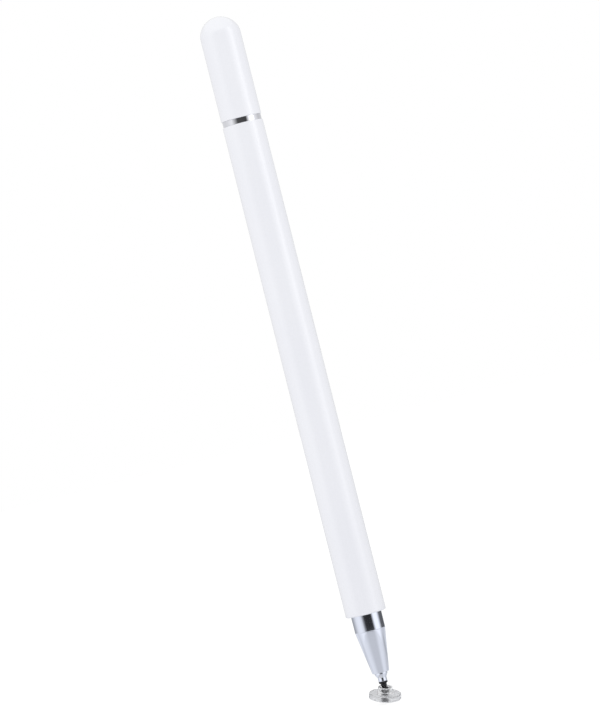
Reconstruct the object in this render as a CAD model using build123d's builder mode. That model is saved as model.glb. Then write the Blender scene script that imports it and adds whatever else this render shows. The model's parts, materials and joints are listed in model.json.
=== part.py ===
from build123d import *
import os
from math import asin, atan, cos, degrees, radians, sin, tan

# A slim stylus pen with a swivelling clear disc tip and a pull-off magnetic cap, in millimetres.
# The pen's axis is Z, tip down. The origin is on that axis, level with the disc's lowest edge.

os.makedirs("parts", exist_ok=True)

# Barrel: a plain lacquered tube
barrel_diameter = 8.9
barrel_wall = 0.8
barrel_length = 109.0
barrel_front_round = 0.35
barrel_rear_chamfer = 0.12

# Cap: a domed shell with a steel sleeve in its mouth, which the magnets hold
cap_length = 22.5
cap_wall = 0.6
cap_dome_height = 4.2
cap_crown_wall = 0.9
dome_shoulder_share = 2.0
cap_bore_end_share = 0.5
cap_mouth_chamfer = 0.12
liner_wall = 0.3
liner_length = 9.0
liner_recess = 0.1

# Bright ring between the barrel and the cap
ring_height = 1.2
ring_step = 0.2
ring_edge = 0.12

# Threaded bushes and ring magnets, alike at both ends of the barrel
bush_wall = 1.2
bush_length = 8.0
thread_engagement = 6.0
thread_lead = 0.4
magnet_thickness = 2.0
magnet_bore_gap = 0.05

# Spigot that the cap slides onto
spigot_length = 4.5
spigot_clearance = 0.05
spigot_lead = 0.4
spigot_slot_width = 0.8
spigot_slot_depth = 0.7

# Nose: a short collar, then a cone
collar_length = 3.7
collar_gap = 0.3
collar_taper = 0.03
collar_seat_depth = 0.2
cone_length = 9.4
cone_end_diameter = 3.7
cone_end_edge = 0.15

# Nib holder: a stepped pin in the end of the cone
nib_shank_diameter = 2.2
nib_shank_length = 6.0
nib_step_diameter = 2.85
nib_step_length = 0.35
nib_taper_length = 0.75
nib_pin_diameter = 1.95
nib_pin_length = 0.83
nib_pin_edge = 0.08

# Ball stud: a blackened pin with a shoulder, a post and a neck that narrows to the ball
stud_shank_diameter = 1.0
stud_shank_length = 3.5
stud_bore_clearance = 0.02
stud_end_gap = 0.03
stud_reach = 2.0
stud_shoulder_height = 0.3
stud_shoulder_slope = 0.22
stud_post_diameter = 1.28
stud_neck_rise = 1.0
stud_neck_diameter = 1.04
ball_diameter = 1.8

# Disc hub: a clear tapered collar that snaps over the ball
hub_diameter = 3.05
hub_foot_diameter = 3.4
hub_height = 1.5
hub_rim = 0.275
hub_edge = 0.15
hub_spigot_diameter = 2.6
hub_running_gap = 0.02
hub_floor_gap = 0.03
socket_clearance = 0.02
socket_mouth_angle = 68.0

# Touch disc and the clear conducting film set into its underside
disc_diameter = 6.95
disc_thickness = 1.05
disc_edge = 0.12
ball_above_disc = 0.7
film_thickness = 0.1
film_margin = 0.3

# How the disc lies at rest: its axis leans from the pen's axis, towards a bearing from +X
disc_lean = 20.0
disc_lean_bearing = -41.2

overrun = 1.0

# Radii that neighbouring pieces share
barrel_radius = barrel_diameter / 2
bore_radius = barrel_radius - barrel_wall
thread_radius = bore_radius - bush_wall
cap_bore_radius = barrel_radius - cap_wall
liner_bore_radius = cap_bore_radius - liner_wall
spigot_radius = liner_bore_radius - spigot_clearance
ring_radius = barrel_radius - ring_step
magnet_bore_radius = thread_radius + magnet_bore_gap
collar_radius = bore_radius - collar_gap
collar_front_radius = collar_radius - collar_taper
cone_end_radius = cone_end_diameter / 2
nib_shank_radius = nib_shank_diameter / 2
nib_step_radius = nib_step_diameter / 2
nib_pin_radius = nib_pin_diameter / 2
stud_shank_radius = stud_shank_diameter / 2
stud_bore_radius = stud_shank_radius + stud_bore_clearance
stud_post_radius = stud_post_diameter / 2
stud_neck_radius = stud_neck_diameter / 2
ball_radius = ball_diameter / 2
socket_radius = ball_radius + socket_clearance
hub_radius = hub_diameter / 2
hub_foot_radius = hub_foot_diameter / 2
hub_spigot_radius = hub_spigot_diameter / 2
disc_radius = disc_diameter / 2
disc_bore_radius = hub_spigot_radius + hub_running_gap
film_radius = disc_radius - film_margin

# Heights on the stud's axis, from the ball's centre
stud_seat = stud_reach - stud_end_gap
stud_shoulder_base = stud_seat - stud_shoulder_height
stud_post_top = stud_shoulder_base - stud_shoulder_slope
stud_top = stud_seat + stud_shank_length

# Heights on the disc's own axis, from the ball's centre
disc_top = -ball_above_disc
disc_bottom = disc_top - disc_thickness
film_top = disc_bottom + film_thickness
hub_top = disc_top + hub_height
hub_seat = disc_top + hub_running_gap
hub_base = film_top + hub_floor_gap

# Heights on the pen's axis, upwards from the lowest point of the leaning disc's underside
lean = radians(disc_lean)
bearing = radians(disc_lean_bearing)
ball_z = -disc_bottom * cos(lean) + (disc_radius - disc_edge) * sin(lean)
nib_end_z = ball_z + stud_reach
nib_taper_z = nib_end_z + nib_pin_length
nib_step_z = nib_taper_z + nib_taper_length
cone_end_z = nib_step_z + nib_step_length
nib_shank_top_z = cone_end_z + nib_shank_length
stud_bore_top_z = nib_end_z + stud_shank_length
cone_break_z = cone_end_z + cone_length
barrel_front_z = cone_break_z + collar_length
collar_seat_z = barrel_front_z + collar_seat_depth
front_bush_z = collar_seat_z + magnet_thickness
nose_shank_top_z = front_bush_z + thread_engagement
barrel_rear_z = barrel_front_z + barrel_length
tail_magnet_z = barrel_rear_z - magnet_thickness
tail_bush_z = tail_magnet_z - bush_length
spigot_stem_z = tail_magnet_z - thread_engagement
ring_top_z = barrel_rear_z + ring_height
spigot_top_z = ring_top_z + spigot_length
liner_z = ring_top_z + liner_recess
cap_top_z = ring_top_z + cap_length
dome_base_z = cap_top_z - cap_dome_height
cap_bore_end_z = cap_top_z - cap_crown_wall

# The cap's dome: a shoulder arc from the wall and a crown arc over the axis, which meet in line.
# The dome is lower than a half sphere, and the shoulder is tighter by a share of the difference.
dome_drop = barrel_radius - cap_dome_height
shoulder_radius = cap_dome_height - dome_drop * dome_shoulder_share
shoulder_offset = barrel_radius - shoulder_radius
shoulder_angle = 90 - 2 * degrees(atan(dome_shoulder_share / (1 + dome_shoulder_share)))
crown_radius = shoulder_radius + shoulder_offset / cos(radians(shoulder_angle))
shoulder_centre = (shoulder_offset, dome_base_z)
crown_centre = (0, dome_base_z - shoulder_offset * tan(radians(shoulder_angle)))

# Planes that the turned profiles are drawn on: radius to the right, height up
ball_centre = Vector(0, 0, ball_z)
stud_profile = Plane(origin=ball_centre, x_dir=Plane.XZ.x_dir, z_dir=Plane.XZ.z_dir)
disc_direction = Vector(sin(lean) * cos(bearing), sin(lean) * sin(bearing), cos(lean))
disc_plane = Plane(origin=ball_centre, z_dir=disc_direction)
disc_profile = Plane(origin=ball_centre, x_dir=disc_plane.x_dir, z_dir=-disc_plane.y_dir)
disc_axis = Axis(ball_centre, disc_direction)


# Barrel
with BuildPart() as barrel:
    with BuildSketch(Plane.XY.offset(barrel_front_z)):
        Circle(barrel_radius)
        Circle(bore_radius, mode=Mode.SUBTRACT)
    extrude(amount=barrel_length)
    outer_edges = barrel.edges().filter_by(GeomType.CIRCLE).group_by(SortBy.RADIUS)[-1].sort_by(Axis.Z)
    fillet(outer_edges[0], barrel_front_round)
    chamfer(outer_edges[-1], barrel_rear_chamfer)
barrel.part.label = "barrel"
export_step(barrel.part, "parts/barrel.step")


# Threaded bushes, pressed into the barrel
for bush_name, bush_z in (("front_bush", front_bush_z), ("tail_bush", tail_bush_z)):
    with BuildPart() as bush:
        with BuildSketch(Plane.XY.offset(bush_z)):
            Circle(bore_radius)
            Circle(thread_radius, mode=Mode.SUBTRACT)
        extrude(amount=bush_length)
    bush.part.label = bush_name
    export_step(bush.part, f"parts/{bush_name}.step")


# Ring magnets, one behind the nose's collar and one below the bright ring
for magnet_name, magnet_z in (("front_magnet", collar_seat_z), ("tail_magnet", tail_magnet_z)):
    with BuildPart() as magnet:
        with BuildSketch(Plane.XY.offset(magnet_z)):
            Circle(bore_radius)
            Circle(magnet_bore_radius, mode=Mode.SUBTRACT)
        extrude(amount=magnet_thickness)
    magnet.part.label = magnet_name
    export_step(magnet.part, f"parts/{magnet_name}.step")


# Nose: a threaded shank, a collar that seats on the front magnet, and the cone, bored for the nib
with BuildPart() as nose_cone:
    with BuildSketch(Plane.XZ):
        with BuildLine():
            Polyline(
                (0, nib_shank_top_z),
                (nib_shank_radius, nib_shank_top_z),
                (nib_shank_radius, cone_end_z),
                (cone_end_radius, cone_end_z),
                (collar_front_radius, cone_break_z),
                (collar_radius, collar_seat_z),
                (thread_radius, collar_seat_z),
                (thread_radius, nose_shank_top_z),
                (0, nose_shank_top_z),
                close=True,
            )
        make_face()
    revolve(axis=Axis.Z)
    nose_rings = nose_cone.edges().filter_by(GeomType.CIRCLE).group_by(Axis.Z)
    chamfer(nose_rings[0].sort_by(SortBy.RADIUS)[-1], cone_end_edge)
    chamfer(nose_cone.edges().filter_by(GeomType.CIRCLE).group_by(Axis.Z)[-1], thread_lead)
nose_cone.part.label = "nose_cone"
export_step(nose_cone.part, "parts/nose_cone.step")


# Nib holder: a shank in the cone, a step, a taper and the end pin, bored for the ball stud
with BuildPart() as nib_holder:
    with BuildSketch(Plane.XZ):
        with BuildLine():
            Polyline(
                (0, stud_bore_top_z),
                (stud_bore_radius, stud_bore_top_z),
                (stud_bore_radius, nib_end_z),
                (nib_pin_radius, nib_end_z),
                (nib_pin_radius, nib_taper_z),
                (nib_step_radius, nib_step_z),
                (nib_step_radius, cone_end_z),
                (nib_shank_radius, cone_end_z),
                (nib_shank_radius, nib_shank_top_z),
                (0, nib_shank_top_z),
                close=True,
            )
        make_face()
    revolve(axis=Axis.Z)
    nib_rings = nib_holder.edges().filter_by(GeomType.CIRCLE).group_by(Axis.Z)
    chamfer(nib_rings[0].sort_by(SortBy.RADIUS)[-1], nib_pin_edge)
nib_holder.part.label = "nib_holder"
export_step(nib_holder.part, "parts/nib_holder.step")


# Ball stud: the ball, a neck, a post, a shoulder flush with the nib's pin, and a shank in the pin's bore
with BuildPart() as ball_stud:
    with BuildSketch(stud_profile):
        with BuildLine():
            neck_angle = degrees(asin(stud_neck_radius / ball_radius))
            ball_arc = CenterArc((0, 0), ball_radius, -90, 180 - neck_angle)
            Polyline(
                ball_arc @ 1,
                (stud_post_radius, stud_neck_rise),
                (stud_post_radius, stud_post_top),
                (nib_pin_radius, stud_shoulder_base),
                (nib_pin_radius, stud_seat),
                (stud_shank_radius, stud_seat),
                (stud_shank_radius, stud_top),
                (0, stud_top),
                ball_arc @ 0,
            )
        make_face()
    revolve(axis=Axis.Z)
ball_stud.part.label = "ball_stud"
export_step(ball_stud.part, "parts/ball_stud.step")


# Disc hub: a collar with a spherical socket whose mouth is narrower than the ball, flared above it
# so that the hub can tilt about the neck, on a spigot that the disc turns around
with BuildPart() as disc_hub:
    with BuildSketch(disc_profile):
        with BuildLine():
            socket_arc = CenterArc((0, 0), socket_radius, -90, 180 - socket_mouth_angle)
            Polyline(
                socket_arc @ 1,
                (hub_radius - hub_rim, hub_top),
                (hub_radius, hub_top),
                (hub_foot_radius, hub_seat),
                (hub_spigot_radius, hub_seat),
                (hub_spigot_radius, hub_base),
                (0, hub_base),
                socket_arc @ 0,
            )
        make_face()
    revolve(axis=disc_axis)
    hub_rings = disc_hub.edges().filter_by(GeomType.CIRCLE).group_by(disc_axis)
    chamfer(hub_rings[-1].sort_by(SortBy.RADIUS)[-1], hub_edge)
disc_hub.part.label = "disc_hub"
export_step(disc_hub.part, "parts/disc_hub.step")


# Touch disc: a clear plate with eased edges, a bore for the hub and a recess for the film
with BuildPart() as touch_disc:
    with BuildSketch(disc_profile):
        with BuildLine():
            Polyline(
                (disc_bore_radius, disc_top),
                (disc_radius, disc_top),
                (disc_radius, disc_bottom),
                (film_radius, disc_bottom),
                (film_radius, film_top),
                (disc_bore_radius, film_top),
                close=True,
            )
        make_face()
    revolve(axis=disc_axis)
    chamfer(touch_disc.edges().filter_by(GeomType.CIRCLE).group_by(SortBy.RADIUS)[-1], disc_edge)
touch_disc.part.label = "touch_disc"
export_step(touch_disc.part, "parts/touch_disc.step")


# Conducting film, flush with the underside of the disc's rim
with BuildPart() as contact_film:
    with BuildSketch(disc_plane.offset(disc_bottom)):
        Circle(film_radius)
    extrude(amount=film_thickness)
contact_film.part.label = "contact_film"
export_step(contact_film.part, "parts/contact_film.step")


# Bright ring on the rear end of the barrel
with BuildPart() as trim_ring:
    with BuildSketch(Plane.XY.offset(barrel_rear_z)):
        Circle(ring_radius)
        Circle(magnet_bore_radius, mode=Mode.SUBTRACT)
    extrude(amount=ring_height)
    chamfer(trim_ring.edges().filter_by(GeomType.CIRCLE).group_by(SortBy.RADIUS)[-1], ring_edge)
trim_ring.part.label = "trim_ring"
export_step(trim_ring.part, "parts/trim_ring.step")


# Tail spigot: a threaded stem through the ring and the magnet, and a slotted head inside the cap
with BuildPart() as tail_spigot:
    with BuildSketch(Plane.XY.offset(spigot_stem_z)):
        Circle(thread_radius)
    extrude(amount=ring_top_z - spigot_stem_z)
    chamfer(tail_spigot.edges().filter_by(GeomType.CIRCLE).group_by(Axis.Z)[0], thread_lead)
    with BuildSketch(Plane.XY.offset(ring_top_z)):
        Circle(spigot_radius)
    extrude(amount=spigot_length)
    chamfer(tail_spigot.edges().filter_by(GeomType.CIRCLE).group_by(Axis.Z)[-1], spigot_lead)
    with BuildSketch(Plane.XY.offset(spigot_top_z - spigot_slot_depth)):
        Rectangle(spigot_radius * 2 + overrun, spigot_slot_width)
    extrude(amount=spigot_slot_depth + overrun, mode=Mode.SUBTRACT)
tail_spigot.part.label = "tail_spigot"
export_step(tail_spigot.part, "parts/tail_spigot.step")


# Cap shell: a tube with a domed end, whose bore tapers under the dome
with BuildPart() as cap_shell:
    with BuildSketch(Plane.XZ):
        with BuildLine():
            outer_shoulder = CenterArc(shoulder_centre, shoulder_radius, 0, shoulder_angle)
            outer_crown = CenterArc(crown_centre, crown_radius, shoulder_angle, 90 - shoulder_angle)
            Polyline(
                outer_crown @ 1,
                (0, cap_bore_end_z),
                (cap_bore_radius * cap_bore_end_share, cap_bore_end_z),
                (cap_bore_radius, dome_base_z),
                (cap_bore_radius, ring_top_z),
                (barrel_radius, ring_top_z),
                outer_shoulder @ 0,
            )
        make_face()
    revolve(axis=Axis.Z)
    mouth_edges = cap_shell.edges().filter_by(GeomType.CIRCLE).group_by(Axis.Z)[0]
    chamfer(mouth_edges.sort_by(SortBy.RADIUS)[-1], cap_mouth_chamfer)
cap_shell.part.label = "cap_shell"
export_step(cap_shell.part, "parts/cap_shell.step")


# Steel sleeve in the mouth of the cap
with BuildPart() as cap_liner:
    with BuildSketch(Plane.XY.offset(liner_z)):
        Circle(cap_bore_radius)
        Circle(liner_bore_radius, mode=Mode.SUBTRACT)
    extrude(amount=liner_length)
cap_liner.part.label = "cap_liner"
export_step(cap_liner.part, "parts/cap_liner.step")
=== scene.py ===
"""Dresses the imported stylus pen: white lacquer, turned bright metal and a clear swivelling disc.

Each sub-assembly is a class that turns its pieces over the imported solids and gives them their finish.
Lengths are in metres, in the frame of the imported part: the pen's axis is Z, with the tip down.
"""

import json
import logging
import math
from abc import ABC, abstractmethod
from collections.abc import Mapping, Sequence
from dataclasses import dataclass, field
from enum import Enum

import bmesh
import bpy
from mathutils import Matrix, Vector


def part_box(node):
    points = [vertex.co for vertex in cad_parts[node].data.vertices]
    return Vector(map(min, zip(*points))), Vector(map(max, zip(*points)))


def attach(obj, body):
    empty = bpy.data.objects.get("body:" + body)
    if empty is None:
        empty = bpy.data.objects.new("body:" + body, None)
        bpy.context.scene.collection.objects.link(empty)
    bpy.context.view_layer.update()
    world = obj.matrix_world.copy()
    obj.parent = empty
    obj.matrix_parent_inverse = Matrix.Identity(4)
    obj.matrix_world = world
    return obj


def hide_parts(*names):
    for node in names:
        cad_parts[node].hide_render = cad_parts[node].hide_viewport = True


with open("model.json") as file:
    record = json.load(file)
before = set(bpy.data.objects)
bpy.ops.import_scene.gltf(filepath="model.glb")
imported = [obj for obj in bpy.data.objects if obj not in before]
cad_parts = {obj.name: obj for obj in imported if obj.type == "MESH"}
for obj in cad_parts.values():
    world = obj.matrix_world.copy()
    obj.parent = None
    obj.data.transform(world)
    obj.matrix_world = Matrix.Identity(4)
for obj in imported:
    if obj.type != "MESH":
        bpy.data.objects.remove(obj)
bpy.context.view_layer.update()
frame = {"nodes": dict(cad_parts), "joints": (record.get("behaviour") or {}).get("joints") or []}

LOG = logging.getLogger("stylus_pen")
MM = 0.001
MERGE_DISTANCE = 0.0002 * MM
SHARP_ANGLE = math.radians(24)
Colour = tuple[float, float, float, float]


def display_colour(red: float, green: float, blue: float) -> Colour:
    """Turn a colour as a screen shows it into the linear one that shaders take.

    Args:
        red: Red, from 0 to 255.
        green: Green, from 0 to 255.
        blue: Blue, from 0 to 255.

    Returns:
        The linear colour, opaque.
    """
    linear = []
    for level in (red, green, blue):
        share = level / 255
        linear.append(share / 12.92 if share <= 0.04045 else ((share + 0.055) / 1.055) ** 2.4)
    return (*linear, 1.0)


class Body(Enum):
    """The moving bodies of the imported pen."""

    PEN = "pen"
    STUD = "stud"
    HUB = "hub"
    DISC = "disc"
    CAP = "cap"


class Slot(Enum):
    """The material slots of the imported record."""

    LACQUER = "white_lacquer"
    CHROME = "chrome_plate"
    STEEL = "liner_steel"
    NICKEL = "magnet_nickel"
    BRASS = "turned_brass"
    BLACK = "black_steel"
    PLASTIC = "clear_plastic"
    FILM = "clear_film"


class NodeSheet:
    """A node tree under construction, with short calls to add and join nodes."""

    def __init__(self, tree: bpy.types.NodeTree) -> None:
        """Start with an empty tree.

        Args:
            tree: The node tree of a material or of the world.
        """
        self.tree = tree
        self.tree.nodes.clear()

    def add(self, kind: str, inputs: Mapping[str, object], **settings: object) -> bpy.types.Node:
        """Add one node.

        Args:
            kind: Blender's name for the kind of node.
            inputs: Values or output sockets for its input sockets, by name.
            **settings: Properties of the node itself.

        Returns:
            The new node.
        """
        node = self.tree.nodes.new(kind)
        for key, value in settings.items():
            setattr(node, key, value)
        for key, value in inputs.items():
            if isinstance(value, bpy.types.NodeSocket):
                self.tree.links.new(value, node.inputs[key])
            else:
                node.inputs[key].default_value = value
        return node

    def object_noise(self, size: Vector, detail: float) -> bpy.types.NodeSocket:
        """Add noise that is fixed to the piece.

        Args:
            size: How far apart the noise's bumps are along X, Y and Z.
            detail: Octaves of finer noise.

        Returns:
            The noise, from 0 to 1.
        """
        place = self.add("ShaderNodeTexCoord", {})
        scaled = self.add("ShaderNodeMapping", {
            "Vector": place.outputs["Object"],
            "Scale": tuple(1 / length for length in size),
        })
        noise = self.add("ShaderNodeTexNoise", {
            "Vector": scaled.outputs["Vector"], "Scale": 1.0, "Detail": detail,
        })
        return noise.outputs["Fac"]

    def between(self, share: bpy.types.NodeSocket, low: float, high: float) -> bpy.types.NodeSocket:
        """Stretch a pattern to a range.

        Args:
            share: The pattern, from 0 to 1.
            low: The value at 0.
            high: The value at 1.

        Returns:
            The stretched pattern.
        """
        return self.add("ShaderNodeMapRange", {
            "Value": share, "To Min": low, "To Max": high,
        }).outputs["Result"]

    def blend(self, share: bpy.types.NodeSocket, first: Colour, last: Colour) -> bpy.types.NodeSocket:
        """Colour a pattern.

        Args:
            share: The pattern, from 0 to 1.
            first: The colour at 0.3, and below it.
            last: The colour at 0.7, and above it.

        Returns:
            The coloured pattern.
        """
        return self.ramp(share, [(0.3, first), (0.7, last)])

    def ramp(
        self, share: bpy.types.NodeSocket, stops: Sequence[tuple[float, Colour]]
    ) -> bpy.types.NodeSocket:
        """Colour a pattern through several stops.

        Args:
            share: The pattern, from 0 to 1.
            stops: Places in the pattern and their colours, in order.

        Returns:
            The coloured pattern.
        """
        node = self.add("ShaderNodeValToRGB", {"Fac": share})
        elements = node.color_ramp.elements
        for element, (position, colour) in zip(elements, (stops[0], stops[-1])):
            element.position = position
            element.color = colour
        for position, colour in stops[1:-1]:
            elements.new(position).color = colour
        return node.outputs["Color"]

    def mix(
        self, share: bpy.types.NodeSocket, first: bpy.types.NodeSocket, last: bpy.types.NodeSocket
    ) -> bpy.types.NodeSocket:
        """Pass from one shader to another.

        Args:
            share: 0 for the first shader, 1 for the last.
            first: The first shader.
            last: The last shader.

        Returns:
            The mixed shader.
        """
        mixed = self.add("ShaderNodeMixShader", {"Fac": share})
        self.tree.links.new(first, mixed.inputs[1])
        self.tree.links.new(last, mixed.inputs[2])
        return mixed.outputs["Shader"]

    def bump(self, height: bpy.types.NodeSocket, depth: float) -> bpy.types.NodeSocket:
        """Raise a pattern.

        Args:
            height: The pattern, from 0 to 1.
            depth: How far the pattern's tops stand over its bottoms.

        Returns:
            The bent normal.
        """
        return self.add("ShaderNodeBump", {
            "Strength": 1.0, "Distance": depth, "Height": height,
        }).outputs["Normal"]


class Finish(ABC):
    """A surface finish, whose material is made once and shared."""

    name: str

    def material(self) -> bpy.types.Material:
        """Give the finish's material, made on first use."""
        return bpy.data.materials.get(self.name) or self.make()

    def make(self) -> bpy.types.Material:
        """Make the material.

        Returns:
            The new material.
        """
        material = bpy.data.materials.new(self.name)
        material.use_nodes = True
        sheet = NodeSheet(material.node_tree)
        surface = self.shade(sheet)
        sheet.add("ShaderNodeOutputMaterial", {"Surface": surface.outputs["BSDF"]})
        return material

    @abstractmethod
    def shade(self, sheet: NodeSheet) -> bpy.types.Node:
        """Add the finish's nodes to the sheet and give the shader."""


@dataclass(frozen=True)
class Lacquer(Finish):
    """Sprayed gloss lacquer, with a faint orange peel and slow drifts of tone."""

    name: str
    pale: Colour
    shade_tone: Colour
    gloss: tuple[float, float] = (0.15, 0.21)
    drift_size: float = 9 * MM
    peel_size: float = 0.7 * MM
    peel_depth: float = 0.0003 * MM
    coat: float = 0.3
    coat_roughness: float = 0.1

    def shade(self, sheet: NodeSheet) -> bpy.types.Node:
        """Add the lacquer's nodes.

        Args:
            sheet: The material's node sheet.

        Returns:
            The shader.
        """
        drift = sheet.object_noise(Vector((1, 1, 3)) * self.drift_size, 2.0)
        peel = sheet.object_noise(Vector((1, 1, 1)) * self.peel_size, 1.0)
        return sheet.add("ShaderNodeBsdfPrincipled", {
            "Base Color": sheet.blend(drift, self.shade_tone, self.pale),
            "Roughness": sheet.between(drift, *self.gloss),
            "Normal": sheet.bump(peel, self.peel_depth),
            "Coat Weight": self.coat,
            "Coat Roughness": self.coat_roughness,
        })


@dataclass(frozen=True)
class TurnedMetal(Finish):
    """Metal off the lathe, plated or bare, with fine lines round the pen's axis."""

    name: str
    bright: Colour
    dull: Colour
    roughness: tuple[float, float]
    line_pitch: float
    line_depth: float
    metallic: float = 1.0
    patch_size: float = 2.5 * MM
    line_length: float = 20 * MM

    def shade(self, sheet: NodeSheet) -> bpy.types.Node:
        """Add the metal's nodes.

        Args:
            sheet: The material's node sheet.

        Returns:
            The shader.
        """
        patches = sheet.object_noise(Vector((1, 1, 1)) * self.patch_size, 3.0)
        lines = sheet.object_noise(Vector((self.line_length, self.line_length, self.line_pitch)), 2.0)
        return sheet.add("ShaderNodeBsdfPrincipled", {
            "Base Color": sheet.blend(lines, self.dull, self.bright),
            "Metallic": self.metallic,
            "Roughness": sheet.between(patches, *self.roughness),
            "Normal": sheet.bump(lines, self.line_depth),
        })


@dataclass(frozen=True)
class ClearPlastic(Finish):
    """Moulded clear plastic, with slow flow marks in its surface."""

    name: str
    thin: Colour
    thick: Colour
    roughness: tuple[float, float]
    clarity: float
    flow_size: float = 1.6 * MM
    flow_depth: float = 0.0004 * MM
    bend: float = 1.49

    def shade(self, sheet: NodeSheet) -> bpy.types.Node:
        """Add the plastic's nodes.

        Args:
            sheet: The material's node sheet.

        Returns:
            The shader.
        """
        flow = sheet.object_noise(Vector((1, 1, 1)) * self.flow_size, 2.0)
        return sheet.add("ShaderNodeBsdfPrincipled", {
            "Base Color": sheet.blend(flow, self.thick, self.thin),
            "Roughness": sheet.between(flow, *self.roughness),
            "IOR": self.bend,
            "Transmission Weight": self.clarity,
            "Normal": sheet.bump(flow, self.flow_depth),
        })


@dataclass(frozen=True)
class ConductingFilm(Finish):
    """Thin clear film with a fine grid of conducting grains."""

    name: str
    clear: Colour
    grain: Colour
    grain_size: float = 0.15 * MM
    alpha: tuple[float, float] = (0.06, 0.12)
    roughness: tuple[float, float] = (0.15, 0.3)

    def shade(self, sheet: NodeSheet) -> bpy.types.Node:
        """Add the film's nodes.

        Args:
            sheet: The material's node sheet.

        Returns:
            The shader.
        """
        grains = sheet.object_noise(Vector((1, 1, 1)) * self.grain_size, 2.0)
        return sheet.add("ShaderNodeBsdfPrincipled", {
            "Base Color": sheet.blend(grains, self.grain, self.clear),
            "Roughness": sheet.between(grains, *self.roughness),
            "Alpha": sheet.between(grains, *self.alpha),
        })


WHITE_LACQUER = Lacquer(
    name="sprayed_white",
    pale=display_colour(241, 242, 246),
    shade_tone=display_colour(238, 239, 244),
)
POLISHED_CHROME = TurnedMetal(
    name="polished_chrome",
    bright=display_colour(240, 241, 246),
    dull=display_colour(234, 235, 242),
    roughness=(0.05, 0.09),
    line_pitch=0.06 * MM,
    line_depth=0.00002 * MM,
)
LINER_STEEL = TurnedMetal(
    name="drawn_steel",
    bright=display_colour(200, 200, 202),
    dull=display_colour(172, 172, 176),
    roughness=(0.24, 0.36),
    line_pitch=0.12 * MM,
    line_depth=0.0015 * MM,
)
MAGNET_NICKEL = TurnedMetal(
    name="plated_nickel",
    bright=display_colour(208, 206, 200),
    dull=display_colour(188, 186, 180),
    roughness=(0.18, 0.3),
    line_pitch=0.3 * MM,
    line_depth=0.0008 * MM,
)
TURNED_BRASS = TurnedMetal(
    name="lathe_brass",
    bright=display_colour(226, 206, 154),
    dull=display_colour(202, 176, 118),
    roughness=(0.16, 0.3),
    line_pitch=0.1 * MM,
    line_depth=0.002 * MM,
)
BLACK_STEEL = TurnedMetal(
    name="blackened_steel",
    bright=display_colour(46, 46, 48),
    dull=display_colour(30, 30, 32),
    roughness=(0.28, 0.42),
    line_pitch=0.05 * MM,
    line_depth=0.0008 * MM,
    metallic=0.4,
)
DISC_PLASTIC = ClearPlastic(
    name="moulded_disc",
    thin=display_colour(241, 242, 244),
    thick=display_colour(238, 239, 242),
    roughness=(0.28, 0.3),
    clarity=0.95,
)
HUB_PLASTIC = ClearPlastic(
    name="moulded_hub",
    thin=display_colour(254, 254, 255),
    thick=display_colour(252, 253, 254),
    roughness=(0.28, 0.3),
    clarity=0.95,
)
CLEAR_FILM = ConductingFilm(
    name="conducting_film",
    clear=display_colour(226, 229, 232),
    grain=display_colour(190, 194, 200),
)


@dataclass(frozen=True)
class Corner:
    """A corner of a turned profile.

    Attributes:
        radius: Distance from the axis.
        height: Distance along the axis from its origin.
        ease: How far from the corner its rounding starts.
    """

    radius: float
    height: float
    ease: float = 0.0

    def towards(self, other: "Corner", distance: float) -> "Corner":
        """Give a corner on the way to another one.

        Args:
            other: The corner to go towards.
            distance: How far to go.

        Returns:
            The sharp corner there.
        """
        across, along = other.radius - self.radius, other.height - self.height
        share = distance / math.hypot(across, along)
        return Corner(self.radius + across * share, self.height + along * share)


@dataclass(frozen=True)
class TurnAxis:
    """An axis that profiles are turned about."""

    origin: Vector
    direction: Vector

    def place(self, corner: Corner) -> Vector:
        """Give a corner's place in the frame.

        Args:
            corner: The corner, by radius and height.

        Returns:
            Its place in the half plane that the profile is drawn on.
        """
        across = self.direction.orthogonal().normalized()
        return self.origin + across * corner.radius + self.direction * corner.height


def arc(centre: Corner, radius: float, start: float, end: float, steps: int) -> list[Corner]:
    """Round a stretch of a profile.

    Args:
        centre: The arc's centre.
        radius: The arc's radius.
        start: Angle of its first point, in degrees from outwards, towards up.
        end: Angle of its last point.
        steps: Number of chords.

    Returns:
        The arc's points, both ends among them.
    """
    angles = [math.radians(start + (end - start) * step / steps) for step in range(steps + 1)]
    return [
        Corner(centre.radius + radius * math.cos(angle), centre.height + radius * math.sin(angle))
        for angle in angles
    ]


class Outline(Enum):
    """How a profile ends: at the axis on both sides, or back where it started."""

    FROM_AXIS = "from_axis"
    LOOP = "loop"


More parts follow.
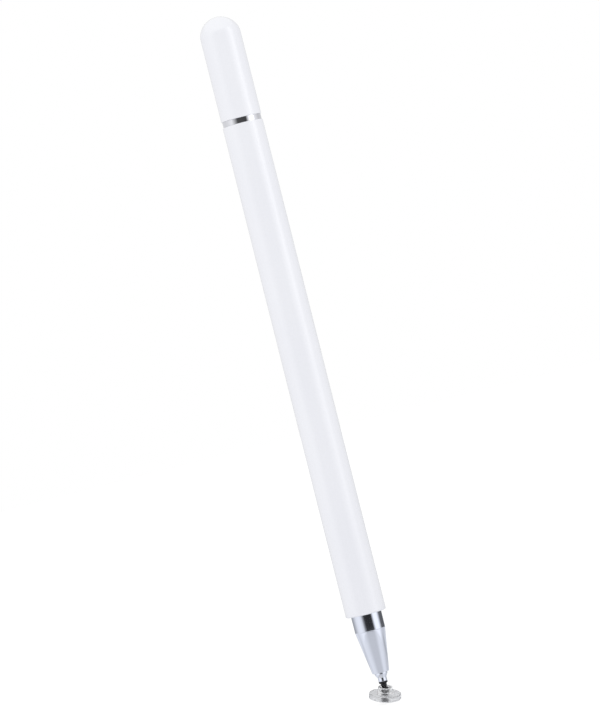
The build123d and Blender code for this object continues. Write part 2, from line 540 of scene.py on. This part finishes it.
@dataclass(frozen=True)
class Lathe:
    """Turns profiles into closed meshes."""

    axis: TurnAxis
    sides: int = 160
    ease_segments: int = 5
    hold: float = 0.015 * MM

    def held(self, corners: Sequence[Corner]) -> list[Corner]:
        """Add a corner just past each end of a rounding, so that the flats beside it stay flat to the light.

        Args:
            corners: The profile's corners, in order.

        Returns:
            The corners with those added.
        """
        held: list[Corner] = []
        for index, corner in enumerate(corners):
            if corner.ease > 0:
                reach = corner.ease + self.hold
                before, after = corners[index - 1], corners[(index + 1) % len(corners)]
                held += [corner.towards(before, reach), corner, corner.towards(after, reach)]
            else:
                held.append(corner)
        return held

    def turn(self, corners: Sequence[Corner], outline: Outline) -> bmesh.types.BMesh:
        """Turn a profile about the axis.

        Args:
            corners: The profile's corners, in order.
            outline: How the profile ends.

        Returns:
            The closed mesh, with its faces outwards.
        """
        turned = bmesh.new()
        corners = self.held(corners)
        places = [turned.verts.new(self.axis.place(corner)) for corner in corners]
        ends = places[1:] + places[:1] if outline is Outline.LOOP else places[1:]
        for place, end in zip(places, ends):
            turned.edges.new((place, end))
        for place, corner in zip(places, corners):
            if corner.ease > 0:
                bmesh.ops.bevel(
                    turned, geom=[place], offset=corner.ease, offset_type="OFFSET", affect="VERTICES",
                    segments=self.ease_segments, profile=0.5, material=-1,
                )
        bmesh.ops.spin(
            turned, geom=turned.verts[:] + turned.edges[:], cent=self.axis.origin,
            axis=self.axis.direction, angle=math.tau, steps=self.sides, use_merge=True,
        )
        bmesh.ops.remove_doubles(turned, verts=turned.verts[:], dist=MERGE_DISTANCE)
        bmesh.ops.recalc_face_normals(turned, faces=turned.faces[:])
        return turned


PEN_LATHE = Lathe(TurnAxis(Vector((0, 0, 0)), Vector((0, 0, 1))))


def settle(
    name: str, shape: bmesh.types.BMesh, body: Body, node: str, finish: Finish
) -> None:
    """Make a shape a piece of the pen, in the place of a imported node.

    Args:
        name: The piece's name.
        shape: Its mesh, which is used up.
        body: The body that it rides on.
        node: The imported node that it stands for.
        finish: Its finish.
    """
    mesh = bpy.data.meshes.new(name)
    shape.to_mesh(mesh)
    shape.free()
    mesh.shade_smooth()
    mesh.set_sharp_from_angle(angle=SHARP_ANGLE)
    mesh.materials.append(finish.material())
    piece = bpy.data.objects.new(name, mesh)
    bpy.context.scene.collection.objects.link(piece)
    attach(piece, body.value)
    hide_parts(node)
    LOG.info("%s: %d faces, %s, on %s", name, len(mesh.polygons), finish.name, body.value)


def dress_node(node: str, finish: Finish) -> None:
    """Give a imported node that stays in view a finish.

    Args:
        node: The node's name.
        finish: Its finish.
    """
    for slot in frame["nodes"][node].material_slots:
        slot.material = finish.material()
    LOG.info("%s: packed node, %s", node, finish.name)


@dataclass
class Barrel:
    """The long lacquered tube, with the bushes and magnets in its ends."""

    wall: float = 0.8 * MM
    front_round: float = 0.35 * MM
    rear_round: float = 0.14 * MM

    def build(self) -> None:
        """Turn the tube and dress what sits in it."""
        low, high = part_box("barrel")
        bore = high.x - self.wall
        tube = PEN_LATHE.turn([
            Corner(bore, low.z),
            Corner(high.x, low.z, self.front_round),
            Corner(high.x, high.z, self.rear_round),
            Corner(bore, high.z),
        ], Outline.LOOP)
        settle("lacquered_barrel", tube, Body.PEN, "barrel", WHITE_LACQUER)
        for node in ("front_bush", "tail_bush"):
            dress_node(node, TURNED_BRASS)
        for node in ("front_magnet", "tail_magnet"):
            dress_node(node, MAGNET_NICKEL)


@dataclass
class Tail:
    """The bright ring on the barrel's rear end, and the spigot that the cap slides onto."""

    ring_bore: float = 2.5 * MM
    ring_edge: float = 0.05 * MM
    stem_radius: float = 2.45 * MM
    stem_lead: float = 0.4 * MM
    head_lead: float = 0.4 * MM
    slot_width: float = 0.8 * MM
    slot_depth: float = 0.7 * MM

    def build(self) -> None:
        """Turn the ring and the spigot."""
        low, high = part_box("trim_ring")
        ring = PEN_LATHE.turn([
            Corner(self.ring_bore, low.z),
            Corner(high.x, low.z, self.ring_edge),
            Corner(high.x, high.z, self.ring_edge),
            Corner(self.ring_bore, high.z),
        ], Outline.LOOP)
        settle("bright_ring", ring, Body.PEN, "trim_ring", POLISHED_CHROME)
        self.build_spigot(high.z)

    def build_spigot(self, seat: float) -> None:
        """Turn the spigot and cut the slot for a screwdriver.

        Args:
            seat: The height where its head sits on the ring.
        """
        low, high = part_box("tail_spigot")
        spigot = PEN_LATHE.turn([
            Corner(0, low.z),
            Corner(self.stem_radius - self.stem_lead, low.z),
            Corner(self.stem_radius, low.z + self.stem_lead),
            Corner(self.stem_radius, seat),
            Corner(high.x, seat),
            Corner(high.x, high.z - self.head_lead),
            Corner(high.x - self.head_lead, high.z),
            Corner(0, high.z),
        ], Outline.FROM_AXIS)
        self.cut_slot(spigot, high.z - self.slot_depth)
        settle("brass_spigot", spigot, Body.PEN, "tail_spigot", TURNED_BRASS)

    def cut_slot(self, spigot: bmesh.types.BMesh, floor: float) -> None:
        """Cut a slot across the top of the spigot.

        Args:
            spigot: The spigot's mesh.
            floor: The height of the slot's floor.
        """
        half = self.slot_width / 2
        cuts = [((0, half, 0), (0, 1, 0)), ((0, -half, 0), (0, 1, 0)), ((0, 0, floor), (0, 0, 1))]
        for place, normal in cuts:
            bmesh.ops.bisect_plane(
                spigot, geom=spigot.verts[:] + spigot.edges[:] + spigot.faces[:], dist=MERGE_DISTANCE,
                plane_co=place, plane_no=normal,
            )
        middles = {face: face.calc_center_median() for face in spigot.faces}
        inside = [face for face, at in middles.items() if abs(at.y) < half and at.z > floor]
        bmesh.ops.delete(spigot, geom=inside, context="FACES")
        rim = [edge for edge in spigot.edges if edge.is_boundary]
        seams = []
        for side in (half, -half):
            wall = [
                edge for edge in rim
                if all(abs(vert.co.y - side) < MERGE_DISTANCE for vert in edge.verts)
            ]
            feet = {vert for edge in wall for vert in edge.verts if abs(vert.co.z - floor) < MERGE_DISTANCE}
            seams.append(spigot.edges.new(sorted(feet, key=lambda vert: vert.co.x)))
            bmesh.ops.contextual_create(spigot, geom=wall + [seams[-1]])
        ends = [edge for edge in rim if all(abs(vert.co.z - floor) < MERGE_DISTANCE for vert in edge.verts)]
        bmesh.ops.contextual_create(spigot, geom=ends + seams)
        bmesh.ops.recalc_face_normals(spigot, faces=spigot.faces[:])


@dataclass
class Cap:
    """The domed cap, with the steel sleeve in its mouth."""

    wall: float = 0.6 * MM
    crown_wall: float = 0.9 * MM
    dome_height: float = 4.2 * MM
    shoulder_radius: float = 3.7 * MM
    bore_end_share: float = 0.5
    mouth_round: float = 0.14 * MM
    liner_wall: float = 0.3 * MM
    liner_round: float = 0.1 * MM
    shoulder_steps: int = 28
    crown_steps: int = 10

    def dome(self, radius: float, base: float) -> list[Corner]:
        """Draw the dome, as a shoulder arc and a crown arc that meet in line.

        Args:
            radius: The cap's radius.
            base: The height where the dome starts.

        Returns:
            The dome's points, from the wall to the axis.
        """
        offset = radius - self.shoulder_radius
        rise = self.dome_height - self.shoulder_radius
        drop = (offset ** 2 - rise ** 2) / (2 * rise)
        meet = math.degrees(math.atan2(drop, offset))
        crown = self.dome_height + drop
        shoulder = arc(Corner(offset, base), self.shoulder_radius, 0, meet, self.shoulder_steps)
        return shoulder + arc(Corner(0, base - drop), crown, meet, 90, self.crown_steps)[1:]

    def build(self) -> None:
        """Turn the shell and the sleeve."""
        low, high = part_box("cap_shell")
        base = high.z - self.dome_height
        bore = high.x - self.wall
        bore_end = high.z - self.crown_wall
        shell = PEN_LATHE.turn([
            Corner(0, bore_end),
            Corner(bore * self.bore_end_share, bore_end),
            Corner(bore, base),
            Corner(bore, low.z),
            Corner(high.x, low.z, self.mouth_round),
            *self.dome(high.x, base),
        ], Outline.FROM_AXIS)
        settle("lacquered_cap", shell, Body.CAP, "cap_shell", WHITE_LACQUER)
        low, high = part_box("cap_liner")
        sleeve = PEN_LATHE.turn([
            Corner(high.x - self.liner_wall, low.z, self.liner_round),
            Corner(high.x, low.z),
            Corner(high.x, high.z),
            Corner(high.x - self.liner_wall, high.z, self.liner_round),
        ], Outline.LOOP)
        settle("steel_sleeve", sleeve, Body.CAP, "cap_liner", LINER_STEEL)


@dataclass
class Nose:
    """The bright collar and cone at the barrel's front end, and the stepped nib in the cone."""

    collar_radius: float = 3.35 * MM
    break_radius: float = 3.32 * MM
    break_round: float = 0.1 * MM
    cone_length: float = 9.4 * MM
    cone_end_radius: float = 1.85 * MM
    cone_end_round: float = 0.15 * MM
    collar_length: float = 3.9 * MM
    thread_radius: float = 2.45 * MM
    thread_lead: float = 0.4 * MM
    nib_shank_radius: float = 1.1 * MM
    nib_shank_length: float = 6.0 * MM
    nib_step_radius: float = 1.425 * MM
    nib_step_length: float = 0.35 * MM
    nib_taper_length: float = 0.75 * MM
    nib_edge: float = 0.08 * MM
    pin_radius: float = 0.975 * MM
    stud_bore_radius: float = 0.52 * MM
    stud_bore_depth: float = 3.5 * MM

    def build(self) -> None:
        """Turn the cone and the nib."""
        low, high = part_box("nose_cone")
        cone_break = low.z + self.cone_length
        seat = cone_break + self.collar_length
        nib_top = low.z + self.nib_shank_length
        cone = PEN_LATHE.turn([
            Corner(0, nib_top),
            Corner(self.nib_shank_radius, nib_top),
            Corner(self.nib_shank_radius, low.z),
            Corner(self.cone_end_radius, low.z, self.cone_end_round),
            Corner(self.break_radius, cone_break, self.break_round),
            Corner(self.collar_radius, seat),
            Corner(self.thread_radius, seat),
            Corner(self.thread_radius, high.z, self.thread_lead),
            Corner(0, high.z),
        ], Outline.FROM_AXIS)
        settle("bright_nose", cone, Body.PEN, "nose_cone", POLISHED_CHROME)
        self.build_nib(low.z)

    def build_nib(self, cone_end: float) -> None:
        """Turn the stepped nib.

        Args:
            cone_end: The height of the cone's end.
        """
        low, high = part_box("nib_holder")
        step = cone_end - self.nib_step_length
        taper_end = step - self.nib_taper_length
        bore_top = low.z + self.stud_bore_depth
        nib = PEN_LATHE.turn([
            Corner(0, bore_top),
            Corner(self.stud_bore_radius, bore_top),
            Corner(self.stud_bore_radius, low.z),
            Corner(self.pin_radius, low.z, self.nib_edge),
            Corner(self.pin_radius, taper_end),
            Corner(self.nib_step_radius, step, self.nib_edge),
            Corner(self.nib_step_radius, cone_end),
            Corner(self.nib_shank_radius, cone_end),
            Corner(self.nib_shank_radius, high.z),
            Corner(0, high.z),
        ], Outline.FROM_AXIS)
        settle("bright_nib", nib, Body.PEN, "nib_holder", POLISHED_CHROME)


@dataclass
class SwivelTip:
    """The black ball stud and the clear disc that swivels on it.

    Heights of the hub, the pin, the disc and the film are on the disc's own axis, from the ball's centre.
    """

    ball_radius: float = 0.9 * MM
    neck_radius: float = 0.52 * MM
    neck_rise: float = 1.0 * MM
    post_radius: float = 0.64 * MM
    post_top: float = 1.45 * MM
    stud_shoulder_radius: float = 0.975 * MM
    stud_shoulder_base: float = 1.67 * MM
    stud_shoulder_round: float = 0.04 * MM
    stud_seat: float = 1.97 * MM
    shank_radius: float = 0.5 * MM
    shank_top: float = 5.47 * MM
    socket_radius: float = 0.92 * MM
    socket_mouth: float = 22.0
    hub_radius: float = 1.525 * MM
    hub_foot_radius: float = 1.7 * MM
    hub_rim: float = 0.275 * MM
    hub_edge: float = 0.15 * MM
    hub_top: float = 0.8 * MM
    hub_seat: float = -0.68 * MM
    pin_radius: float = 0.7 * MM
    pin_gap: float = 0.02 * MM
    disc_radius: float = 3.475 * MM
    disc_top: float = -0.7 * MM
    disc_bottom: float = -1.75 * MM
    disc_edge: float = 0.15 * MM
    film_radius: float = 3.175 * MM
    film_top: float = -1.65 * MM
    film_gap: float = 0.01 * MM
    ball_steps: int = 32
    cup_steps: int = 12
    centre: Vector = field(default_factory=Vector)
    lean: Vector = field(default_factory=Vector)

    def __post_init__(self) -> None:
        """Take the ball's centre and the disc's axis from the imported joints."""
        spin = next(joint for joint in frame["joints"] if joint["name"] == "disc_spin")
        self.centre = Vector(spin["pos_m"])
        self.lean = Vector(spin["axis"]).normalized()

    def build(self) -> None:
        """Turn the stud, the hub, the pin, the disc and the film."""
        self.build_stud()
        disc_lathe = Lathe(TurnAxis(self.centre, self.lean))
        self.build_hub(disc_lathe)
        self.build_pin(disc_lathe)
        self.build_disc(disc_lathe)

    def socket_angle(self, height: float) -> float:
        """Give the angle, in degrees, at which the socket's wall crosses a height."""
        return math.degrees(math.asin(height / self.socket_radius))

    def build_stud(self) -> None:
        """Turn the ball, its neck, the post, the shoulder and the shank in the nib."""
        neck = 90 - math.degrees(math.asin(self.neck_radius / self.ball_radius))
        stud = Lathe(TurnAxis(self.centre, Vector((0, 0, 1)))).turn([
            *arc(Corner(0, 0), self.ball_radius, -90, neck, self.ball_steps),
            Corner(self.post_radius, self.neck_rise),
            Corner(self.post_radius, self.post_top),
            Corner(self.stud_shoulder_radius, self.stud_shoulder_base, self.stud_shoulder_round),
            Corner(self.stud_shoulder_radius, self.stud_seat),
            Corner(self.shank_radius, self.stud_seat),
            Corner(self.shank_radius, self.shank_top),
            Corner(0, self.shank_top),
        ], Outline.FROM_AXIS)
        settle("black_stud", stud, Body.STUD, "ball_stud", BLACK_STEEL)

    def build_hub(self, lathe: Lathe) -> None:
        """Turn the clear collar, with the socket that holds the ball.

        Args:
            lathe: A lathe on the disc's axis.
        """
        foot = self.socket_angle(self.hub_seat)
        hub = lathe.turn([
            *arc(Corner(0, 0), self.socket_radius, foot, self.socket_mouth, self.ball_steps),
            Corner(self.hub_radius - self.hub_rim, self.hub_top),
            Corner(self.hub_radius, self.hub_top, self.hub_edge),
            Corner(self.hub_foot_radius, self.hub_seat),
        ], Outline.LOOP)
        settle("clear_hub", hub, Body.HUB, "disc_hub", HUB_PLASTIC)

    def build_pin(self, lathe: Lathe) -> None:
        """Turn the black pin that joins the ball to the film, with a cup for the ball.

        Args:
            lathe: A lathe on the disc's axis.
        """
        rim = self.socket_angle(self.disc_top)
        pin = lathe.turn([
            *arc(Corner(0, 0), self.socket_radius, -90, rim, self.cup_steps),
            Corner(self.pin_radius, self.disc_top),
            Corner(self.pin_radius, self.film_top),
            Corner(0, self.film_top),
        ], Outline.FROM_AXIS)
        settle("contact_pin", pin, Body.HUB, "disc_hub", BLACK_STEEL)

    def build_disc(self, lathe: Lathe) -> None:
        """Turn the clear plate and the film under it.

        Args:
            lathe: A lathe on the disc's axis.
        """
        bore = self.pin_radius + self.pin_gap
        plate = lathe.turn([
            Corner(bore, self.disc_top),
            Corner(self.disc_radius, self.disc_top, self.disc_edge),
            Corner(self.disc_radius, self.disc_bottom, self.disc_edge),
            Corner(self.film_radius, self.disc_bottom),
            Corner(self.film_radius, self.film_top),
            Corner(bore, self.film_top),
        ], Outline.LOOP)
        settle("clear_disc", plate, Body.DISC, "touch_disc", DISC_PLASTIC)
        film = lathe.turn([
            Corner(0, self.film_top - self.film_gap),
            Corner(self.film_radius - self.film_gap, self.film_top - self.film_gap),
            Corner(self.film_radius - self.film_gap, self.disc_bottom),
            Corner(0, self.disc_bottom),
        ], Outline.FROM_AXIS)
        settle("clear_film", film, Body.DISC, "contact_film", CLEAR_FILM)


@dataclass(frozen=True)
class Softbox:
    """A soft lamp beside the pen, hidden from reflections: its highlight in the metal and the lacquer is
    painted onto the reflection-only walls instead.

    Attributes:
        name: The lamp's name.
        bearing: Degrees from the camera's side of the pen towards its right.
        rise: Height of its middle.
        width: Its width.
        height: Its height.
        radiance: How bright its face is, where 1 is white.
        distance: How far it stands from the pen.
    """

    name: str
    bearing: float
    rise: float
    width: float
    height: float
    radiance: float
    distance: float = 0.5

    def build(self, aim: Vector) -> None:
        """Set the lamp up.

        Args:
            aim: The point that it faces.
        """
        lamp = bpy.data.lights.new(self.name, "AREA")
        lamp.shape = "RECTANGLE"
        lamp.size = self.width
        lamp.size_y = self.height
        lamp.energy = self.radiance * math.pi * self.width * self.height
        stand = bpy.data.objects.new(self.name, lamp)
        turn = math.radians(self.bearing)
        stand.location = (self.distance * math.sin(turn), -self.distance * math.cos(turn), self.rise)
        stand.rotation_euler = (aim - stand.location).to_track_quat("-Z", "Y").to_euler()
        stand.visible_camera = False
        stand.visible_glossy = False
        bpy.context.scene.collection.objects.link(stand)


Tones = tuple[tuple[float, float], ...]


@dataclass(frozen=True)
class PaintedReflectionWall:
    """A painted reflection: a round wall, or a sheet on the floor, that glows with painted tones and that
    only reflections show; it lights nothing and casts no shadow.

    Tones are bearings, in degrees from the camera's side towards the right, from -90 to 270, and how
    bright the painted reflection is there, where 1 is white; dark tones are painted shade and tones over 1
    are painted highlights.

    Attributes:
        name: The wall's name.
        foot: One edge of the wall, by radius and height.
        head: Its other edge.
        tones: Tones at its foot, and all the way up where its head has none of its own.
        tint: The colour of its white.
        head_tones: Tones at its head.
    """

    name: str
    foot: Corner
    head: Corner
    tones: Tones
    tint: Colour = (1.0, 1.0, 1.0, 1.0)
    head_tones: Tones | None = None

    def tone(
        self, sheet: NodeSheet, round_share: bpy.types.NodeSocket, tones: Tones
    ) -> bpy.types.NodeSocket:
        """Paint tones round the wall.

        Args:
            sheet: The material's node sheet.
            round_share: How far round a place is, from 0 to 1.
            tones: The tones.

        Returns:
            The painted colour.
        """
        return sheet.ramp(round_share, [
            ((bearing + 90) / 360, (*(level * part for part in self.tint[:3]), 1.0))
            for bearing, level in tones
        ])

    def paint(self) -> bpy.types.Material:
        """Make the wall's glowing material of painted reflection, whose tones pass from the foot's to the
        head's.

        Returns:
            The material.
        """
        material = bpy.data.materials.new(self.name)
        material.use_nodes = True
        material.cycles.emission_sampling = "NONE"
        sheet = NodeSheet(material.node_tree)
        place = sheet.add("ShaderNodeTexCoord", {}).outputs["Object"]
        turn = sheet.add("ShaderNodeTexGradient", {"Vector": place}, gradient_type="RADIAL").outputs["Fac"]
        height = sheet.add("ShaderNodeSeparateXYZ", {"Vector": place}).outputs["Z"]
        rise = sheet.add("ShaderNodeMapRange", {
            "Value": height, "From Min": self.foot.height, "From Max": self.head.height,
        }).outputs["Result"]
        ends = [self.tone(sheet, turn, tones) for tones in (self.tones, self.head_tones or self.tones)]
        glows = [sheet.add("ShaderNodeEmission", {"Color": end}).outputs["Emission"] for end in ends]
        sheet.add("ShaderNodeOutputMaterial", {"Surface": sheet.mix(rise, *glows)})
        return material

    def build(self) -> None:
        """Set the painted reflection up, out of sight of all but reflections."""
        shape = PEN_LATHE.turn([self.foot, self.head], Outline.FROM_AXIS)
        mesh = bpy.data.meshes.new(self.name)
        shape.to_mesh(mesh)
        shape.free()
        mesh.materials.append(self.paint())
        wall = bpy.data.objects.new(self.name, mesh)
        bpy.context.scene.collection.objects.link(wall)
        wall.visible_camera = False
        wall.visible_diffuse = False
        wall.visible_transmission = False
        wall.visible_shadow = False


# Painted reflections, band by band: each wall's heights and tones are set for the part of the pen that
# reflects it; low tones are painted shade and tones over 1 are painted highlights.
WALL_RADIUS = 45 * MM
STEP_WALL_TOP = 3.2 * MM
CONE_WALL_TOP = 11.8 * MM
COLLAR_WALL_TOP = 16.9 * MM
BARREL_WALL_TOP = 131 * MM
CAP_WALL_TOP = 180 * MM
SHEET_DROP = 0.01 * MM
COOL_WHITE: Colour = (0.96, 1.0, 1.08, 1.0)
STEP_TONES: Tones = (
    (-90, 0.85), (-62, 1.0), (-34, 1.0), (-18, 0.04), (20, 0.03), (34, 1.0), (72, 1.05), (104, 0.5),
    (140, 0.5), (180, 0.55), (250, 0.7), (270, 0.85),
)
CONE_TONES: Tones = (
    (-90, 0.85), (-60, 0.82), (-25, 0.62), (25, 0.62), (52, 0.84), (75, 0.82), (112, 0.6), (138, 0.72),
    (158, 0.78), (170, 0.3), (192, 0.3), (204, 0.8), (228, 0.82), (250, 0.74), (270, 0.85),
)
COLLAR_TONES: Tones = (
    (-90, 0.86), (-74, 0.92), (-60, 0.93), (-44, 0.78), (-33, 0.3), (-22, 0.05), (-12, 0.03), (29, 0.03),
    (46, 1.05), (60, 1.13), (76, 1.05), (100, 0.14), (135, 0.11), (175, 0.35), (230, 0.42), (254, 0.68),
    (270, 0.86),
)
LOW_TONES: Tones = (
    (-90, 0.9), (-62, 1.0), (-30, 0.05), (20, 0.0), (48, 0.8), (62, 1.3), (80, 0.65), (110, 0.5),
    (180, 0.6), (250, 0.75), (270, 0.9),
)
# The stripe of 2.6 right of the camera is a painted highlight that stands in for the right softbox in the
# metal and the lacquer.
HIGH_TONES: Tones = (
    (-90, 0.8), (-60, 0.95), (-25, 0.08), (25, 0.06), (48, 1.5), (60, 2.6), (78, 0.9), (110, 0.62),
    (180, 0.75), (250, 0.75), (270, 0.8),
)


@dataclass
class Studio:
    """A white studio: floor, world, soft lamps and round walls of painted reflection that only the pen's
    reflections show.
    """

    floor_radius: float = 3.0
    floor_sides: int = 96
    floor_drop: float = 0.03 * MM
    floor_pale: Colour = display_colour(236, 236, 239)
    floor_glow: float = 0.82
    floor_shadow: float = 0.24
    fill: float = 1.0
    aim: Vector = field(default_factory=lambda: Vector((0, 0, 76 * MM)))
    softboxes: tuple[Softbox, ...] = (
        Softbox("right_softbox", bearing=50, rise=0.2, width=0.2, height=0.5, radiance=0.6),
        Softbox("left_softbox", bearing=-50, rise=0.2, width=0.2, height=0.5, radiance=0.6),
    )
    walls: tuple[PaintedReflectionWall, ...] = (
        # A painted reflection of the floor, darker in front of the pen and darkest behind it, as painted
        # shade.
        PaintedReflectionWall(
            "floor_painted_reflection", Corner(0, -SHEET_DROP), Corner(WALL_RADIUS, -SHEET_DROP), CONE_TONES, COOL_WHITE,
        ),
        PaintedReflectionWall(
            "step_painted_reflection", Corner(WALL_RADIUS, 0), Corner(WALL_RADIUS, STEP_WALL_TOP), STEP_TONES, COOL_WHITE,
        ),
        PaintedReflectionWall(
            "cone_painted_reflection", Corner(WALL_RADIUS, STEP_WALL_TOP), Corner(WALL_RADIUS, CONE_WALL_TOP),
            CONE_TONES, COOL_WHITE,
        ),
        PaintedReflectionWall(
            "collar_painted_reflection", Corner(WALL_RADIUS, CONE_WALL_TOP), Corner(WALL_RADIUS, COLLAR_WALL_TOP),
            COLLAR_TONES, COOL_WHITE,
        ),
        PaintedReflectionWall(
            "barrel_painted_reflection", Corner(WALL_RADIUS, COLLAR_WALL_TOP), Corner(WALL_RADIUS, BARREL_WALL_TOP),
            LOW_TONES, head_tones=HIGH_TONES,
        ),
        PaintedReflectionWall(
            "cap_painted_reflection", Corner(WALL_RADIUS, BARREL_WALL_TOP), Corner(WALL_RADIUS, CAP_WALL_TOP), HIGH_TONES,
        ),
    )

    def seen(self, sheet: NodeSheet) -> bpy.types.NodeSocket:
        """Tell the rays that show the background from those that light the pen.

        Args:
            sheet: The node sheet that asks.

        Returns:
            1 for rays from the camera, a reflection or clear plastic, and otherwise 0.
        """
        path = sheet.add("ShaderNodeLightPath", {})
        either = path.outputs["Is Camera Ray"]
        for ray in ("Is Glossy Ray", "Is Transmission Ray"):
            joined = sheet.add("ShaderNodeMath", {}, operation="MAXIMUM")
            sheet.tree.links.new(either, joined.inputs[0])
            sheet.tree.links.new(path.outputs[ray], joined.inputs[1])
            either = joined.outputs["Value"]
        return either

    def build_world(self) -> None:
        """Light the pen softly from all round, before a white background."""
        world = bpy.data.worlds.new("white_studio")
        world.use_nodes = True
        bpy.context.scene.world = world
        sheet = NodeSheet(world.node_tree)
        soft = sheet.add("ShaderNodeBackground", {"Strength": self.fill})
        white = sheet.add("ShaderNodeBackground", {"Strength": 1.0})
        for shader in (soft, white):
            shader.inputs["Color"].default_value = (1.0, 1.0, 1.0, 1.0)
        mixed = sheet.mix(self.seen(sheet), soft.outputs["Background"], white.outputs["Background"])
        sheet.add("ShaderNodeOutputWorld", {"Surface": mixed})

    def build_floor(self) -> None:
        """Lay a pale floor, which looks white and keeps the pen's shadow."""
        slab = bmesh.new()
        bmesh.ops.create_circle(slab, cap_ends=True, radius=self.floor_radius, segments=self.floor_sides)
        bmesh.ops.translate(slab, verts=slab.verts[:], vec=(0, 0, -self.floor_drop))
        mesh = bpy.data.meshes.new("studio_floor")
        slab.to_mesh(mesh)
        slab.free()
        material = bpy.data.materials.new("studio_floor")
        material.use_nodes = True
        sheet = NodeSheet(material.node_tree)
        pale = sheet.add("ShaderNodeBsdfDiffuse", {"Color": self.floor_pale})
        tone = (self.floor_shadow, self.floor_shadow, self.floor_shadow, 1.0)
        shadow = sheet.add("ShaderNodeBsdfDiffuse", {"Color": tone})
        glow = sheet.add("ShaderNodeEmission", {"Strength": self.floor_glow})
        both = sheet.add("ShaderNodeAddShader", {})
        sheet.tree.links.new(shadow.outputs["BSDF"], both.inputs[0])
        sheet.tree.links.new(glow.outputs["Emission"], both.inputs[1])
        mixed = sheet.mix(self.seen(sheet), pale.outputs["BSDF"], both.outputs["Shader"])
        sheet.add("ShaderNodeOutputMaterial", {"Surface": mixed})
        mesh.materials.append(material)
        floor = bpy.data.objects.new("studio_floor", mesh)
        bpy.context.scene.collection.objects.link(floor)

    def build(self) -> None:
        """Set the studio up."""
        self.build_world()
        self.build_floor()
        for softbox in self.softboxes:
            softbox.build(self.aim)
        for wall in self.walls:
            wall.build()
        LOG.info("studio: %d softboxes, %d reflected walls", len(self.softboxes), len(self.walls))


@dataclass
class PhotoCamera:
    """The camera, level with the middle of the pen and turned so that the pen leans as photographed."""

    distance: float = 0.8
    view_height: float = 155.37 * MM
    aim_height: float = 76.233 * MM
    aim_left: float = 0.47 * MM
    lean: float = math.radians(14.13)
    sensor: float = 36.0
    near_clip: float = 0.01

    def build(self) -> None:
        """Set the camera up and make it the scene's camera."""
        lens = bpy.data.cameras.new("photo_camera")
        lens.sensor_fit = "VERTICAL"
        lens.sensor_height = self.sensor
        lens.lens = self.sensor * self.distance / self.view_height
        lens.clip_start = self.near_clip
        camera = bpy.data.objects.new("photo_camera", lens)
        right = Vector((math.cos(self.lean), 0, -math.sin(self.lean)))
        aim = Vector((0, 0, self.aim_height)) - right * self.aim_left
        camera.location = aim + Vector((0, -self.distance, 0))
        camera.rotation_euler = (math.radians(90), self.lean, 0)
        bpy.context.scene.collection.objects.link(camera)
        bpy.context.scene.camera = camera


def main() -> None:
    """Build the pen's sub-assemblies, then the studio and the camera."""
    logging.basicConfig(level=logging.INFO, format="%(name)s: %(message)s")
    for assembly in (Barrel(), Tail(), Cap(), Nose(), SwivelTip(), Studio(), PhotoCamera()):
        assembly.build()
    bpy.context.scene.view_settings.view_transform = "Standard"


if __name__ == "__main__":
    main()
